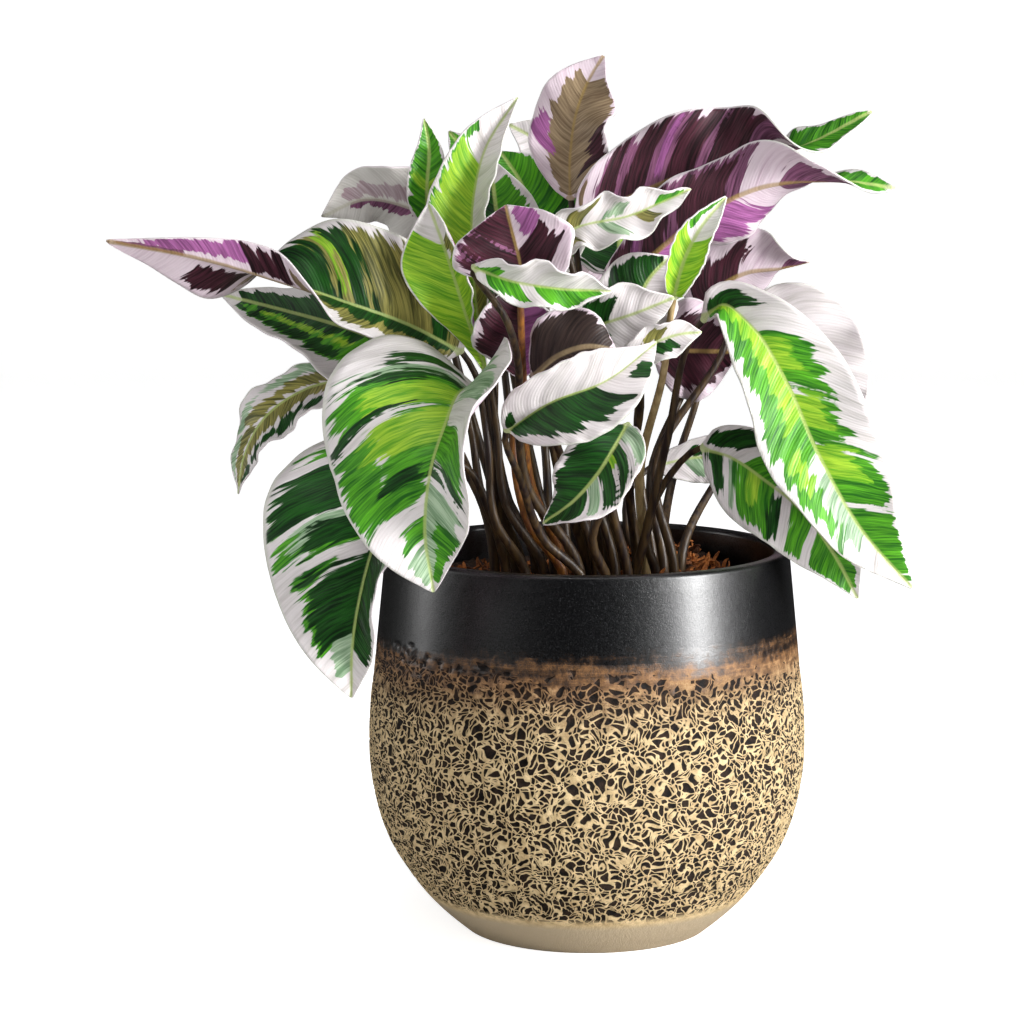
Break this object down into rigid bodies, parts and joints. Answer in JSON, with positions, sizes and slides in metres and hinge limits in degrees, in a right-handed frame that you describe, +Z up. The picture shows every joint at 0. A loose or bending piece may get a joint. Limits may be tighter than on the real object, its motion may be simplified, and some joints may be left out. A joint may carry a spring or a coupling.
{
  "type": "potted prayer plant",
  "caption": "Prayer plant with white, pink and green variegated leaves in a round stoneware pot with a black glazed band over a pitted tan body.",
  "frame": {"origin": "centre of the pot's foot, on the ground", "axes": "+Z up the pot's axis, front of the plant towards -Y, right of the picture towards +X"},
  "size_m": [0.3325, 0.2791, 0.3773],
  "materials": {
    "leaf": "satin leaf, green, white and pink above, purple below",
    "stoneware": "black satin glaze band fading to tan with dark pits",
    "mulch": "rough coir chips"
  },
  "bodies": {
    "root": {"leaf_back_dark": "leaf", "leaf_back_green": "leaf", "leaf_back_left": "leaf", "leaf_back_pale": "leaf", "leaf_centre": "leaf", "leaf_centre_dark": "leaf", "leaf_centre_pink": "leaf", "leaf_curl": "leaf", "leaf_dark_right": "leaf", "leaf_droop_right": "leaf", "leaf_far_left": "leaf", "leaf_front_big": "leaf", "leaf_hanging": "leaf", "leaf_left_back": "leaf", "leaf_left_broad": "leaf", "leaf_left_narrow": "leaf", "leaf_left_under": "leaf", "leaf_long_right": "leaf", "leaf_low_back": "leaf", "leaf_low_right": "leaf", "leaf_mid_right": "leaf", "leaf_purple_v": "leaf", "leaf_purple_wave": "leaf", "leaf_rear_left": "leaf", "leaf_rear_low_left": "leaf", "leaf_rear_low_right": "leaf", "leaf_rear_mid": "leaf", "leaf_rear_right": "leaf", "leaf_right_small": "leaf", "leaf_rolled": "leaf", "leaf_second_right": "leaf", "leaf_small_upright": "leaf", "leaf_spear": "leaf", "leaf_striped": "leaf", "leaf_tall_left": "leaf", "leaf_top": "leaf", "leaf_white_right": "leaf", "leaf_white_ruffled": "leaf", "pot": "stoneware", "soil": "mulch"}
  },
  "joints": []
}
